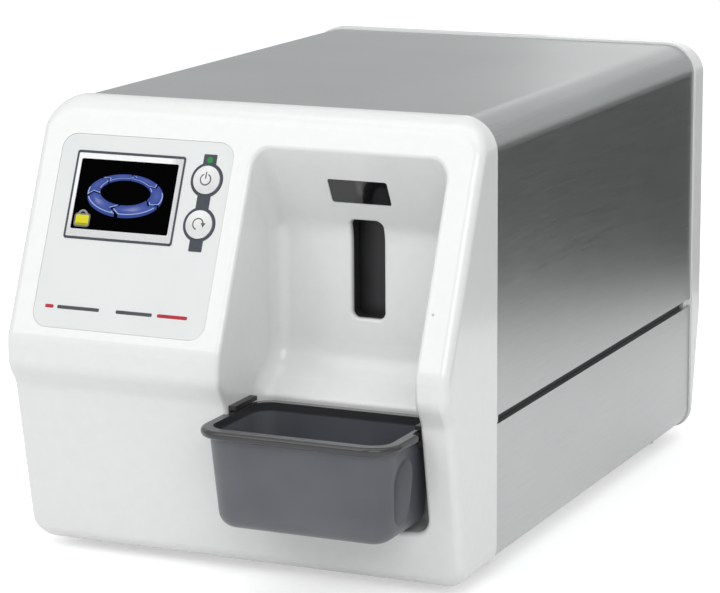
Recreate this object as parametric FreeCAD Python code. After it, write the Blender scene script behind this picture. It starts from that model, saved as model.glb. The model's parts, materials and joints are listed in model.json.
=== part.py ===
import FreeCAD, Part
import math
import os
from FreeCAD import Vector as V

# Tabletop imaging-plate scanner, in millimetres.
# Design axes: x to the right, y backwards from the seam between front cover and metal casing,
# z upwards from the underside of the casing. save() shifts every piece so that the finished
# object stands on z = 0, centred on the origin, with its front facing -Y.

# ---- driving dimensions -------------------------------------------------------------------

CASE_HALF = 100.5          # metal casing, half width
CASE_DEPTH = 255.0         # from front seam to rear seam
CASE_TOP = 188.0
SHEET = 1.2
PROUD = 1.0                # how far the plastic covers stand outside the metal
TOP_R = 14.0               # long upper edges of the casing
BOTTOM_R = 9.0             # long lower edges of the casing
SEAM_LOW = 60.6            # top edge of the base chassis
SEAM_HIGH = 64.3           # bottom edge of the top cover
FOOT_H = 5.4
FRONT_RIM = (4.0, 12.0, 7.0)   # front cover: radius of side edges, top edge and bottom edge
REAR_RIM = (3.0, 8.0, 4.0)
WALL = 2.5                 # plastic covers

LEAN = 23.29               # the upper front face leans back by this angle
LEAN_Y = -10.64            # where that face would meet z = CASE_TOP
LEDGE_Y = -52.3
LEDGE_LOW = 79.0
STEP_Y = -46.7             # the lower front face starts here, below the ledge
STEP_Z = 70.2
TOE_Y = -34.1              # the lower front face ends here, at the underside
BACK_Y = 268.8

BAY_X0 = 0.0               # recess for the feed slot and the collection tray
BAY_X1 = 87.0
BAY_X = (BAY_X0 + BAY_X1) / 2
BAY_FLOOR = 22.5
BAY_BACK = 2.0
BAY_CREASE = 137.5         # above this height the back wall of the recess slants forwards
BAY_TOP = 173.7
BAY_R = 7.0
POCKET_Y = -15.5           # back of the tray pocket

SLOT_X = 42.55
SLOT_W = 14.9
SLOT_Z0 = 100.3
SLOT_Z1 = 142.6
SLOT_LIP = 1.4             # rounding of the slot's edge
PANE_W = 26.7              # tinted window above the slot
PANE_H = 11.9

TRAY_FRONT = -77.5
TRAY_BACK = -18.2
TRAY_BOTTOM = 24.3
RIM_TOP = 67.2
RIM_H = 3.6

PANEL_X0, PANEL_X1 = -90.0, -8.5
PANEL_Z0, PANEL_Z1 = 96.8, 174.2
SCREEN = (-79.5, -33.2, 136.3, 164.4)
BEZEL = (-81.1, -31.2, 133.3, 166.6)
OUTLINE = (-82.0, -30.3, 132.3, 167.6)
BUTTON_X = -19.15
BUTTON_Z = (159.1, 141.6)
BUTTON_R = 6.05
BUTTON_TRAVEL = 0.8
PLUNGER_Y = 6.0            # depth of the key switches' plungers
LED_Z = 166.9

GEAR_TEETH = 20
GEAR_MODULE = 0.8
GEAR_X = 48.0
GEAR_Z = 151.0
DOOR_Y = 13.2
RACK_Z = GEAR_Z - GEAR_MODULE * GEAR_TEETH / 2

ROD_X = 68.0
ROD_Z = (104.0, 138.0)
ROD_R = 3.0
SCREW_Z = 121.0
SCREW_R = 4.0
MECH_Z = 84.0              # top of the posts that carry the mechanism
CARRIAGE_Y = 28.0
SCAN_Y = 150.0

FAN_X, FAN_Z, FAN_SIZE = 48.0, 122.0, 60.0
INLET_X, INLET_Z = -62.0, 88.0
ROCKER_X = -30.0
ROCKER_Y = 262.0           # pin on which the mains rocker tilts
ROCKER_REST = 7.0          # its tilt when switched on

GUARD_H = 1.7
SHIFT_Y = -(TRAY_FRONT + BACK_Y + GUARD_H) / 2

X, Y, Z = V(1, 0, 0), V(0, 1, 0), V(0, 0, 1)
TAN_LEAN = math.tan(math.radians(LEAN))
COS_LEAN = math.cos(math.radians(LEAN))


# ---- shape helpers ------------------------------------------------------------------------

def box(x0, x1, y0, y1, z0, z1):
    """Block between two corners."""
    return Part.makeBox(x1 - x0, y1 - y0, z1 - z0, V(x0, y0, z0))


def rod(x, y, z, axis, radius, length):
    """Cylinder from a point along an axis."""
    return Part.makeCylinder(radius, length, V(x, y, z), axis)


def outline(corners, radii, place):
    """Closed wire through flat corner points, each rounded to its own radius."""
    count = len(corners)
    starts, middles, ends = [], [], []
    for i in range(count):
        here = V(corners[i][0], corners[i][1], 0)
        back = V(*corners[i - 1], 0) - here
        ahead = V(*corners[(i + 1) % count], 0) - here
        back.normalize()
        ahead.normalize()
        half = back.getAngle(ahead) / 2
        reach = radii[i] / math.tan(half)
        inward = back + ahead
        inward.normalize()
        starts.append(here + back * reach)
        middles.append(here + inward * (radii[i] / math.sin(half) - radii[i]))
        ends.append(here + ahead * reach)
    edges = []
    for i in range(count):
        if radii[i] > 0:
            edges.append(Part.Arc(place(starts[i]), place(middles[i]), place(ends[i])).toShape())
        following = starts[(i + 1) % count]
        if (ends[i] - following).Length > 1e-6:
            edges.append(Part.LineSegment(place(ends[i]), place(following)).toShape())
    return Part.Wire(edges)


def across(x):
    """Places flat (y, z) points in the plane at x."""
    return lambda p: V(x, p.x, p.y)


def along(y):
    """Places flat (x, z) points in the plane at y."""
    return lambda p: V(p.x, y, p.y)


def level(z):
    """Places flat (x, y) points in the plane at z."""
    return lambda p: V(p.x, p.y, z)


def rect(u0, u1, v0, v1):
    """Corner points of a rectangle, anticlockwise."""
    return [(u0, v0), (u1, v0), (u1, v1), (u0, v1)]


def prism(wire, direction):
    """Solid swept from a closed flat wire."""
    return Part.Face(wire).extrude(direction)


def slab_y(x0, x1, z0, z1, y0, y1, radius):
    """Plate facing along Y with rounded corners."""
    return prism(outline(rect(x0, x1, z0, z1), [radius] * 4, along(y0)), Y * (y1 - y0))


def slab_z(x0, x1, y0, y1, z0, z1, radius):
    """Plate facing up with rounded corners."""
    return prism(outline(rect(x0, x1, y0, y1), [radius] * 4, level(z0)), Z * (z1 - z0))


def fuse(shapes):
    """One solid from several that meet."""
    first = shapes[0]
    return first.multiFuse(shapes[1:]).removeSplitter() if len(shapes) > 1 else first


def lean_y(z):
    """Y of the upper front face at a height."""
    return LEAN_Y + (z - CASE_TOP) * TAN_LEAN


def on_panel(shape, z=150.0):
    """Turns a piece made with its outward side at -Y onto the leaning face, at height z."""
    turned = shape.copy()
    turned.rotate(V(0, 0, 0), X, -LEAN)
    turned.translate(V(0, lean_y(z), z))
    return turned


def slope(z):
    """Distance up the leaning face from height 150 to height z."""
    return (z - 150.0) / COS_LEAN


def panel_slab(frame, depth0, depth1, radius):
    """Rounded plate in the leaning face between two depths; frame is (x0, x1, z0, z1)."""
    x0, x1, z0, z1 = frame
    return on_panel(slab_y(x0, x1, slope(z0), slope(z1), depth0, depth1, radius))


def panel_disc(x, z, depth0, depth1, radius):
    """Disc in the leaning face between two depths."""
    return on_panel(rod(x, depth0, slope(z), Y, radius, depth1 - depth0))


def save(name, shape):
    """Moves a piece to the object's own frame and writes it."""
    placed = shape.copy()
    placed.translate(V(0, SHIFT_Y, FOOT_H))
    placed.exportStep("parts/" + name + ".step")


# ---- covers and casing --------------------------------------------------------------------

def case_section(y, grow):
    """Cross-section of the casing, grown all round by an amount, as a wire at y."""
    corners = rect(-CASE_HALF - grow, CASE_HALF + grow, -grow, CASE_TOP + grow)
    low, high = BOTTOM_R + grow, TOP_R + grow
    return outline(corners, [low, low, high, high], along(y))


def case_ring(y0, y1, grow, wall):
    """Hollow tube with the casing's section."""
    outer = prism(case_section(y0, grow), Y * (y1 - y0))
    return outer.cut(prism(case_section(y0, grow - wall), Y * (y1 - y0)))


def soften(block, inset, radii, is_rim):
    """Rounds the rim of a cover block: radii are for its sides, its top edge and its bottom edge."""
    side, top, toe = [radius - inset for radius in radii]
    low, high = inset - PROUD, CASE_TOP + PROUD - inset

    def radius_at(point):
        if point.z > high - 0.01:
            return top
        return toe if point.z < low + 0.01 else side

    picks = []
    for number, edge in enumerate(block.Edges, 1):
        a, b = edge.Vertexes[0].Point, edge.Vertexes[-1].Point
        across_face = abs(a.x + b.x) < 0.01 and radius_at(a) == side
        if is_rim(a) and is_rim(b) and not across_face:
            picks.append((number, radius_at(a), radius_at(b)))
    sheet = FreeCAD.newDocument("rim")
    base = sheet.addObject("Part::Feature", "block")
    base.Shape = block
    rounded = sheet.addObject("Part::Fillet", "rounded")
    rounded.Base = base
    rounded.Edges = picks
    sheet.recompute()
    shape = rounded.Shape.copy()
    FreeCAD.closeDocument(sheet.Name)
    return shape


def front_block(inset):
    """Solid block of the front cover's shape, drawn in by an inset."""
    low, high = -PROUD, CASE_TOP + PROUD
    ledge_top = CASE_TOP + (LEDGE_Y - LEAN_Y) / TAN_LEAN
    corners = [(30, low), (TOE_Y, low), (STEP_Y, STEP_Z), (LEDGE_Y, LEDGE_LOW),
               (LEDGE_Y, ledge_top), (lean_y(high), high), (30, high)]
    profile = outline(corners, [0, 0, 9, 9, 12, 0, 0], across(-120))
    if inset:
        profile = profile.makeOffset2D(-inset, 2)
    side = prism(profile, X * 240)
    block = side.common(prism(case_section(-120, PROUD - inset), Y * 160))
    return soften(block, inset, FRONT_RIM, lambda point: point.y < 5)


def bay_block(grow):
    """The space of the recess: slanted and upright back wall, chute and tray pocket."""
    slant = (BAY_TOP - BAY_CREASE) / (BAY_BACK - lean_y(BAY_TOP))
    beyond = 60.0
    corners = [(-120, BAY_FLOOR), (POCKET_Y, BAY_FLOOR), (POCKET_Y, RIM_TOP + 1.3),
               (BAY_BACK, 80), (BAY_BACK, BAY_CREASE),
               (BAY_BACK - beyond, BAY_CREASE + beyond * slant), (-120, BAY_CREASE + beyond * slant)]
    profile = outline(corners, [0, 9, 2.5, 18, 20, 0, 0], across(BAY_X0 - grow))
    if grow:
        profile = profile.makeOffset2D(grow)
    block = prism(profile, X * (BAY_X1 - BAY_X0 + 2 * grow))
    back_edges = [e for e in block.Edges if is_bay_corner(e)]
    return block.makeFillet(BAY_R + grow, back_edges)


def is_bay_corner(edge):
    """True for the edges between the side walls and the floor or back wall of the recess."""
    ends = [v.Point for v in edge.Vertexes]
    if abs(ends[0].x - ends[-1].x) > 1e-4:
        return False
    if min(p.y for p in ends) < -119 and ends[0].z > 100:
        return False
    return not (abs(ends[0].z - ends[-1].z) < 1e-4 and ends[0].z > 150)


def panel_pockets():
    """Everything cut into the leaning face for the overlay, the display, the buttons and the lamp."""
    cuts = [panel_slab((PANEL_X0, PANEL_X1, PANEL_Z0, PANEL_Z1), -2, 0.5, 7)]
    cuts.append(panel_slab(BEZEL, -2, 9, 0.6))
    for z in BUTTON_Z:
        cuts.append(panel_disc(BUTTON_X, z, -2, 9, BUTTON_R + 0.25))
    cuts.append(panel_disc(BUTTON_X + 0.15, LED_Z, -2, 9, 1.4))
    return cuts


def window_slab(width, height, depth0, depth1, radius):
    """Rounded plate in the slanted part of the recess's back wall, where the window sits."""
    rise = BAY_TOP - BAY_CREASE
    run = BAY_BACK - lean_y(BAY_TOP)
    piece = slab_y(-width / 2, width / 2, -height / 2, height / 2, depth0, depth1, radius)
    piece.rotate(V(0, 0, 0), X, math.degrees(math.atan2(run, rise)))
    share = 0.495
    piece.translate(V(SLOT_X + 0.6, BAY_BACK - run * share, BAY_CREASE + rise * share))
    return piece


def front_cover():
    """Front moulding: leaning control face, ledge, recess with chute and tray pocket."""
    block = front_block(0)
    outer = block.cut(box(-120, 120, 0, 60, -20, 220))
    shell = outer.cut(front_block(WALL))
    jacket = bay_block(WALL).common(block)
    spigot = case_ring(-4, 7, -SHEET - 0.2, 2.0)
    body = shell.fuse(jacket).fuse(spigot.cut(bay_block(WALL)))
    slot = slab_y(SLOT_X - SLOT_W / 2, SLOT_X + SLOT_W / 2, SLOT_Z0, SLOT_Z1, -6, 9, 3)
    window = window_slab(PANE_W + 0.2, PANE_H + 0.2, -6, 6, 1.2)
    dimple = rod(90.9, -60, 114.9, Y, 0.6, 18.6)
    hollowed = body.cut(bay_block(0))
    hollowed = hollowed.makeFillet(2.0, bay_mouth(hollowed)).cut(slot)
    lipped = hollowed.makeFillet(SLOT_LIP, slot_mouth(hollowed, slot))
    return lipped.cut(fuse_cuts([window, dimple] + panel_pockets()))


def meeting_edges(body, first, second, keep):
    """Edges of a body whose middle lies on the skins of two other solids."""
    skins = [solid.Shells[0] for solid in (first, second)]
    found = []
    for edge in body.Edges:
        middle = Part.Vertex(edge.valueAt((edge.FirstParameter + edge.LastParameter) / 2))
        if keep(middle) and all(skin.distToShape(middle)[0] < 1e-3 for skin in skins):
            found.append(edge)
    return found


def bay_mouth(body):
    """The edges where the recess meets the front faces."""
    return meeting_edges(body, front_block(0), bay_block(0),
                         lambda p: p.Y < -10 and BAY_X0 - 1 < p.X < BAY_X1 + 1)


def slot_mouth(body, slot):
    """The edges where the feed slot meets the back wall of the recess."""
    return meeting_edges(body, slot, bay_block(0), lambda p: abs(p.X - SLOT_X) < SLOT_W)


def fuse_cuts(cuts):
    """A compound of cutting shapes."""
    return Part.Compound(cuts)


def rear_cover():
    """Rear moulding, with openings for fan, mains inlet, rocker switch and network socket."""
    low, high = -PROUD, CASE_TOP + PROUD
    corners = [(240, low), (257.5, low), (BACK_Y, 57.5), (BACK_Y, high), (240, high)]
    profile = outline(corners, [0, 0, 14, 0, 0], across(-120))
    block = prism(profile, X * 240).common(prism(case_section(CASE_DEPTH, PROUD), Y * 40))
    block = soften(block, 0, REAR_RIM, lambda point: point.y > CASE_DEPTH + 1)
    hollow_corners = [(230, low + WALL), (255.4, low + WALL), (BACK_Y - WALL, 58),
                      (BACK_Y - WALL, high - WALL), (230, high - WALL)]
    hollow = prism(outline(hollow_corners, [0, 3, 12, 5, 0], across(-120)), X * 240)
    hollow = hollow.common(prism(case_section(200, PROUD - WALL), Y * 90))
    spigot = case_ring(CASE_DEPTH - 6, CASE_DEPTH + 0.5, -SHEET - 0.2, 2.0)
    cuts = [rod(FAN_X, 250, FAN_Z, Y, 27, 30),
            slab_y(INLET_X - 14, INLET_X + 14, INLET_Z - 10.5, INLET_Z + 10.5, 250, 280, 2),
            slab_y(ROCKER_X - 7, ROCKER_X + 7, INLET_Z - 10.5, INLET_Z + 10.5, 250, 280, 1),
            slab_y(-9, 7, INLET_Z - 7, INLET_Z + 7, 250, 280, 0.5)]
    cuts += [rod(x, 250, z, Y, 1.45, 30) for x, z in cover_screw_places()]
    return block.cut(hollow).fuse(spigot).cut(fuse_cuts(cuts))


def top_cover():
    """Bent sheet over top and sides, with narrow lips turned in along the lower edges."""
    ring = case_ring(0.2, CASE_DEPTH - 0.2, 0, SHEET)
    sheet = ring.cut(box(-120, 120, -5, 300, -5, SEAM_HIGH))
    lips = []
    for side in (-1, 1):
        edge = side * CASE_HALF
        lips.append(box(min(edge, edge - side * 2.6), max(edge, edge - side * 2.6),
                        8, CASE_DEPTH - 7, SEAM_HIGH, SEAM_HIGH + 0.8))
    return fuse([sheet] + lips)


def base_chassis():
    """Bent sheet tray that carries everything, with lips turned in along the upper edges."""
    ring = case_ring(0.2, CASE_DEPTH - 0.2, 0, SHEET)
    sheet = ring.cut(box(-120, 120, -5, 300, SEAM_LOW, 300))
    lips = []
    for side in (-1, 1):
        edge = side * CASE_HALF
        lips.append(box(min(edge, edge - side * 2.6), max(edge, edge - side * 2.6),
                        8, CASE_DEPTH - 7, SEAM_LOW - 0.8, SEAM_LOW))
    holes = [rod(x, y, -3, Z, 1.6, 6) for x, y in foot_places()]
    return fuse([sheet] + lips).cut(fuse_cuts(holes))


def seam_liners():
    """Dark strips behind the gap between top cover and base chassis."""
    strips = []
    for side in (-1, 1):
        inner, outer = side * 95.6, side * 97.7
        strips.append(box(min(inner, outer), max(inner, outer), 8, CASE_DEPTH - 8, 55, 70))
    return Part.Compound(strips)


def foot_places():
    """Where the four feet are, as (x, y)."""
    return [(x, y) for x in (-82, 82) for y in (16, 236)]


def feet():
    """Four soft round feet with a recess for their screws."""
    solids = []
    for x, y in foot_places():
        foot = Part.makeCone(6.6, 7.5, FOOT_H, V(x, y, -FOOT_H), Z)
        solids.append(foot.cut(rod(x, y, -FOOT_H, Z, 3.2, 2.6)).cut(rod(x, y, -FOOT_H, Z, 1.6, 9)))
    return Part.Compound(solids)


def foot_screws():
    """Pan-head screws that hold the feet."""
    solids = []
    for x, y in foot_places():
        head = rod(x, y, -FOOT_H + 0.8, Z, 2.8, 1.8)
        shank = rod(x, y, -FOOT_H + 2.6, Z, 1.5, 5.0)
        solids.append(fuse([head, shank]))
    return Part.Compound(solids)


def cover_screws():
    """Countersunk screws at the rear that hold the top cover to the rear moulding."""
    solids = []
    for x, z in cover_screw_places():
        shank = rod(x, BACK_Y - WALL - 5, z, Y, 1.4, WALL + 5.0)
        solids.append(fuse([shank, rod(x, BACK_Y, z, Y, 2.6, 0.9)]))
    return Part.Compound(solids)


def cover_screw_places():
    """Where the rear screws are, as (x, z)."""
    return [(x, z) for x in (-88, 88) for z in (74, 168)]


# ---- control panel ------------------------------------------------------------------------

def panel_overlay():
    """Thin printed film in its shallow pocket, cut out round display and button strap."""
    film = panel_slab((PANEL_X0 + 0.15, PANEL_X1 - 0.15, PANEL_Z0 + 0.15, PANEL_Z1 - 0.15), 0.1, 0.5, 6.9)
    strap = strap_shape(-1, 2)
    return film.cut(panel_slab(OUTLINE, -1, 2, 1.2)).cut(strap)


def strap_shape(depth0, depth1):
    """Solid strap with two round lobes, which links the two buttons and the lamp."""
    band = panel_slab((BUTTON_X - 3.05, BUTTON_X + 3.05, 131.0, 169.2), depth0, depth1, 0.4)
    lobes = [panel_disc(BUTTON_X, z, depth0, depth1, 7.45) for z in BUTTON_Z]
    return fuse([band] + lobes)


def button_surround():
    """Slate strap round the buttons."""
    holes = [panel_disc(BUTTON_X, z, -1, 2, BUTTON_R + 0.25) for z in BUTTON_Z]
    holes.append(panel_disc(BUTTON_X + 0.15, LED_Z, -1, 2, 1.4))
    return strap_shape(0.0, 0.5).cut(fuse_cuts(holes))


def display_outline():
    """Thin dark frame round the display."""
    return panel_slab(OUTLINE, -0.05, 0.5, 1.2).cut(panel_slab(BEZEL, -1, 2, 0.6))


def display_bezel():
    """Pale inner frame of the display."""
    return panel_slab(BEZEL, 0.05, 2.2, 0.6).cut(panel_slab(SCREEN, -1, 3, 0.8))


def display_window():
    """Black glass of the display."""
    return panel_slab(SCREEN, 0.3, 2.2, 0.8)


def display_module():
    """Liquid-crystal module and its metal can behind the glass."""
    x0, x1, z0, z1 = BEZEL
    return panel_slab((x0 + 1, x1 - 1, z0 + 1, z1 - 1), 2.5, 7.0, 1.0)


def panel_board():
    """Circuit board behind the control panel."""
    return panel_slab((-84, -11, 128, 172), 9.0, 10.6, 2.0)


def panel_studs():
    """Screw pillars between front cover and panel board."""
    places = [(x, z) for x in (-83.0, -26.5) for z in (129.5, 170.5)]
    return Part.Compound([panel_disc(x, z, WALL, 9.0, 1.5) for x, z in places])


def tact_switches():
    """Two small key switches on the panel board."""
    solids = []
    for z in BUTTON_Z:
        can = panel_slab((BUTTON_X - 3, BUTTON_X + 3, z - 2.75, z + 2.75), 6.6, 9.0, 0.4)
        solids.append(fuse([can, panel_disc(BUTTON_X, z, PLUNGER_Y, 6.7, 1.7)]))
    return Part.Compound(solids)


def button(z):
    """Domed push button with a stem that reaches its key switch."""
    cap = rod(BUTTON_X, -0.5, slope(z), Y, BUTTON_R, 3.9)
    dome_r = 22.0
    rise = dome_r - math.sqrt(dome_r ** 2 - BUTTON_R ** 2)
    ball = Part.makeSphere(dome_r, V(BUTTON_X, -0.5 - rise + dome_r, slope(z)))
    dome = rod(BUTTON_X, -2, slope(z), Y, BUTTON_R, 1.6).common(ball)
    stem = rod(BUTTON_X, 3.2, slope(z), Y, 1.4, PLUNGER_Y - BUTTON_TRAVEL - 0.1 - 3.2)
    return on_panel(fuse([cap, dome, stem]))


def status_led():
    """Light pipe of the status lamp."""
    return panel_disc(BUTTON_X + 0.15, LED_Z, -0.2, 8.6, 1.35)


def smoked_window():
    """Tinted pane in the slanted wall above the feed slot."""
    pane = window_slab(PANE_W, PANE_H, 0.35, WALL + 0.2, 1.1)
    return fuse([pane, window_slab(PANE_W + 4.2, PANE_H + 3.8, WALL, WALL + 1.0, 1.5)])


def slot_bezel():
    """Dark throat behind the feed slot."""
    half = SLOT_W / 2
    flange = slab_y(SLOT_X - half - 4, SLOT_X + half + 4, SLOT_Z0 - 4, SLOT_Z1 + 1.2, 4.5, 6.0, 2)
    throat = slab_y(SLOT_X - half - 1.2, SLOT_X + half + 1.2, SLOT_Z0 - 1.2, SLOT_Z1 + 1.2, 5.5, 10.0, 2.5)
    bore = slab_y(SLOT_X - half, SLOT_X + half, SLOT_Z0, SLOT_Z1 - 0.2, 0, 20, 2.8)
    return fuse([flange, throat]).cut(bore)


# ---- collection tray ----------------------------------------------------------------------

def tray_loft(inset, floor):
    """Tapered tub between its floor outline and its mouth outline."""
    mouth = rect(BAY_X - 41.2 + inset, BAY_X + 41.2 - inset, -73.8 + inset, -21.5 - inset)
    base = rect(BAY_X - 38.6 + inset, BAY_X + 38.6 - inset, -69.5 + inset, -24.0 - inset)
    wires = [outline(base, [9.5 - inset] * 4, level(floor)),
             outline(mouth, [10 - inset] * 4, level(RIM_TOP))]
    tub = Part.makeLoft(wires, True, True)
    low = [e for e in tub.Edges if all(abs(v.Z - floor) < 1e-4 for v in e.Vertexes)]
    return tub.makeFillet(7.0 - inset, low)


def scallop(side, grow):
    """Tall oblong dent in a side wall, for thumb and finger."""
    radius, depth = 20.0, 2.4
    wall_x = 40.2
    x = BAY_X + side * (wall_x + radius - depth)
    ends = [Part.makeSphere(radius + grow, V(x, -55.5, z)) for z in (38.0, 48.0)]
    return fuse([rod(x, -55.5, 38.0, Z, radius + grow, 10.0)] + ends)


def collection_tray():
    """Smoky tub with a rolled rim, wide in front and narrow where it runs in the rails."""
    wall = 1.8
    low = RIM_TOP - RIM_H
    inner_rim = slab_z(BAY_X - 42.4, BAY_X + 42.4, TRAY_FRONT + 4, TRAY_BACK, low, RIM_TOP, 11)
    corners = rect(BAY_X - 44.2, BAY_X + 44.2, TRAY_FRONT, -48.2)
    wide_rim = prism(outline(corners, [13, 13, 1.5, 1.5], level(low)), Z * RIM_H)
    rims = []
    for plate in (inner_rim, wide_rim):
        rims.append(plate.makeFillet(1.6, [e for e in plate.Edges if is_level(e)]))
    tub = tray_loft(0, TRAY_BOTTOM)
    hollow = tray_loft(wall, TRAY_BOTTOM + wall)
    for side in (-1, 1):
        tub = tub.cut(scallop(side, 0))
        hollow = hollow.cut(scallop(side, wall - 0.1))
    mouth = slab_z(BAY_X - 38.2, BAY_X + 38.2, -72.4, -23.4, low + 1, RIM_TOP + 5, 8.5)
    top = fuse(rims).cut(mouth)
    return fuse([tub, top]).cut(hollow)


def is_level(edge):
    """True for an edge that lies at one height."""
    return abs(edge.BoundBox.ZMax - edge.BoundBox.ZMin) < 1e-4


def tray_rails():
    """Channels on both side walls of the recess in which the tray's rim runs."""
    solids = []
    for side in (-1, 1):
        web = box(0.0, 0.75, -44, -24, 60.8, 69.4)
        upper = box(0.0, 3.2, -44, -24, RIM_TOP + 0.4, 69.4)
        lower = box(0.0, 1.9, -44, -24, 60.8, RIM_TOP - RIM_H - 0.4)
        rail = fuse([web, upper, lower])
        if side > 0:
            rail = rail.mirror(V(BAY_X, 0, 0), X)
        solids.append(rail)
    return Part.Compound(solids)


# ---- feed door ----------------------------------------------------------------------------

def involute_gear(teeth, module, y0, y1):
    """Spur gear round the Y axis, with a little play on both flanks."""
    pitch = teeth * module / 2
    base = pitch * math.cos(math.radians(20))
    tip, root = pitch + 0.9 * module, pitch - 1.2 * module
    play = 0.06 / pitch
    half = math.pi / (2 * teeth) + math.tan(math.radians(20)) - math.radians(20) - play
    points = []
    for tooth in range(teeth):
        centre = -math.pi / 2 + tooth * 2 * math.pi / teeth
        flank = []
        for step in range(6):
            radius = max(base, root) + (tip - max(base, root)) * step / 5
            pressure = math.acos(base / radius)
            flank.append((radius, half - math.tan(pressure) + pressure))
        flank = [(root, flank[0][1])] + flank
        points += [(r, centre - a) for r, a in flank] + [(r, centre + a) for r, a in reversed(flank)]
    corners = [V(r * math.cos(a), y0, r * math.sin(a)) for r, a in points]
    return prism(Part.makePolygon(corners + corners[:1]), Y * (y1 - y0))


def door_gear():
    """Gear, hub and slotted disc that turn on the door motor's shaft."""
    gear = involute_gear(GEAR_TEETH, GEAR_MODULE, 16.0, 19.6)
    disc = rod(0, 10.6, 0, Y, 11.6, 0.9)
    hub = rod(0, 9.2, 0, Y, 7.0, 7.0).cut(rod(0, 9.2, 0, Y, 5.4, 0.6))
    piece = fuse([gear, disc, hub]).cut(rod(0, 9.2, 0, Y, 1.55, 12))
    piece.translate(V(GEAR_X, 0, GEAR_Z))
    return piece


def rack_points(x0, count, pitch_z):
    """Saw-tooth line of a rack, from left to right, as (x, z)."""
    step = math.pi * GEAR_MODULE
    lean = math.tan(math.radians(20))
    up, down = 0.9 * GEAR_MODULE, 1.15 * GEAR_MODULE
    half = step / 4 - 0.06
    points = []
    for tooth in range(count):
        middle = x0 + (tooth + 0.5) * step
        for offset, z in ((-half - down * lean, -down), (-half + up * lean, up),
                          (half - up * lean, up), (half + down * lean, -down)):
            points.append((middle + offset, pitch_z + z))
    return points


def feed_door():
    """Sliding shutter with a rack along its top edge; it moves aside to open the slot."""
    step = math.pi * GEAR_MODULE
    teeth = 12
    x0 = GEAR_X - step * 8
    line = rack_points(x0, teeth, RACK_Z)
    low = RACK_Z - 3.6
    corners = [V(x0, 16.0, low)] + [V(x, 16.0, z) for x, z in line] + [V(x0 + teeth * step, 16.0, low)]
    rack = prism(Part.makePolygon(corners + corners[:1]), Y * 3.4)
    plate = box(SLOT_X - 9.2, SLOT_X + 9.2, DOOR_Y, DOOR_Y + 1.6, SLOT_Z0 - 2.4, RACK_Z - 1.0)
    bridge = box(SLOT_X - 9.2, SLOT_X + 9.2, DOOR_Y, 16.6, low, RACK_Z - 1.0)
    return fuse([plate, bridge, rack])


def door_guide():
    """Frame with an upper and a lower groove, fixed behind the recess wall."""
    x0, x1 = 26.0, 74.0
    low = SLOT_Z0 - 2.4
    foot = box(x0, x1, DOOR_Y - 1.6, DOOR_Y + 3.2, low - 4.2, low - 0.3)
    front_lip = box(x0, x1, DOOR_Y - 1.6, DOOR_Y - 0.3, low - 1.0, low + 1.8)
    back_lip = box(x0, x1, DOOR_Y + 1.9, DOOR_Y + 3.2, low - 1.0, low + 1.8)
    stand = box(x0, x1, DOOR_Y - 1.6, DOOR_Y + 3.2, MECH_Z + 3, low - 3.0)
    return fuse([foot, front_lip, back_lip, stand])


def door_motor():
    """Small flat gear motor that turns the door gear."""
    body = box(GEAR_X - 6, GEAR_X + 6, 22.0, 44.0, GEAR_Z - 5, GEAR_Z + 5)
    can = rod(GEAR_X, 44.0, GEAR_Z, Y, 4.9, 10)
    shaft = rod(GEAR_X, 9.8, GEAR_Z, Y, 1.5, 13)
    return fuse([body, can, shaft])


def door_motor_mount():
    """Bent bracket that hangs the door motor from the front bracket of the rods."""
    arm = box(GEAR_X - 8, ROD_X + 11, 24.0, 40.0, GEAR_Z + 5.0, GEAR_Z + 6.6)
    leg = box(ROD_X + 9, ROD_X + 11, 22.0, 40.0, SCREW_Z, GEAR_Z + 6.6)
    return fuse([arm, leg])


# ---- plate transport ----------------------------------------------------------------------

def mech_base():
    """Flat plate that carries the plate transport and the scan head."""
    plate = slab_z(-44, 92, 16, 236, MECH_Z, MECH_Z + 3, 4)
    holes = [rod(x, y, MECH_Z - 2, Z, 1.6, 8) for x, y in post_places()]
    return plate.cut(fuse_cuts(holes))


def post_places():
    """Where the posts stand, as (x, y)."""
    return [(x, y) for x in (-36, 84) for y in (30, 222)]


def mech_posts():
    """Hexagon posts from chassis floor to mechanism plate."""
    solids = []
    for x, y in post_places():
        ring = [V(x + 4 * math.cos(k * math.pi / 3), y + 4 * math.sin(k * math.pi / 3), SHEET)
                for k in range(7)]
        solids.append(prism(Part.makePolygon(ring), Z * (MECH_Z - SHEET)))
    return Part.Compound(solids)


def rod_brackets():
    """Front and rear brackets that hold the guide rods."""
    solids = []
    for y0 in (22.0, 214.0):
        plate = box(ROD_X - 9, ROD_X + 9, y0, y0 + 4, MECH_Z + 3, ROD_Z[1] + 8)
        foot = box(ROD_X - 9, ROD_X + 9, y0 - 5, y0 + 4, MECH_Z + 3, MECH_Z + 5)
        holes = [rod(ROD_X, y0 - 1, z, Y, ROD_R, 20) for z in ROD_Z]
        holes.append(rod(ROD_X, y0 - 1, SCREW_Z, Y, 6.5, 6))
        solids.append(fuse([plate, foot]).cut(fuse_cuts(holes)))
    return Part.Compound(solids)


def guide_rods():
    """Ground rods along which the carriage runs."""
    return Part.Compound([rod(ROD_X, 22, z, Y, ROD_R, 196) for z in ROD_Z])


def screw_bearings():
    """Ball bearings at both ends of the drive screw."""
    rings = []
    for y0 in (22.0, 214.0):
        rings.append(rod(ROD_X, y0, SCREW_Z, Y, 6.5, 4).cut(rod(ROD_X, y0, SCREW_Z, Y, SCREW_R + 0.05, 4)))
    return Part.Compound(rings)


def leadscrew():
    """Drive screw of the carriage, with its end seats."""
    return rod(ROD_X, 21.0, SCREW_Z, Y, SCREW_R, 198)


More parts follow.
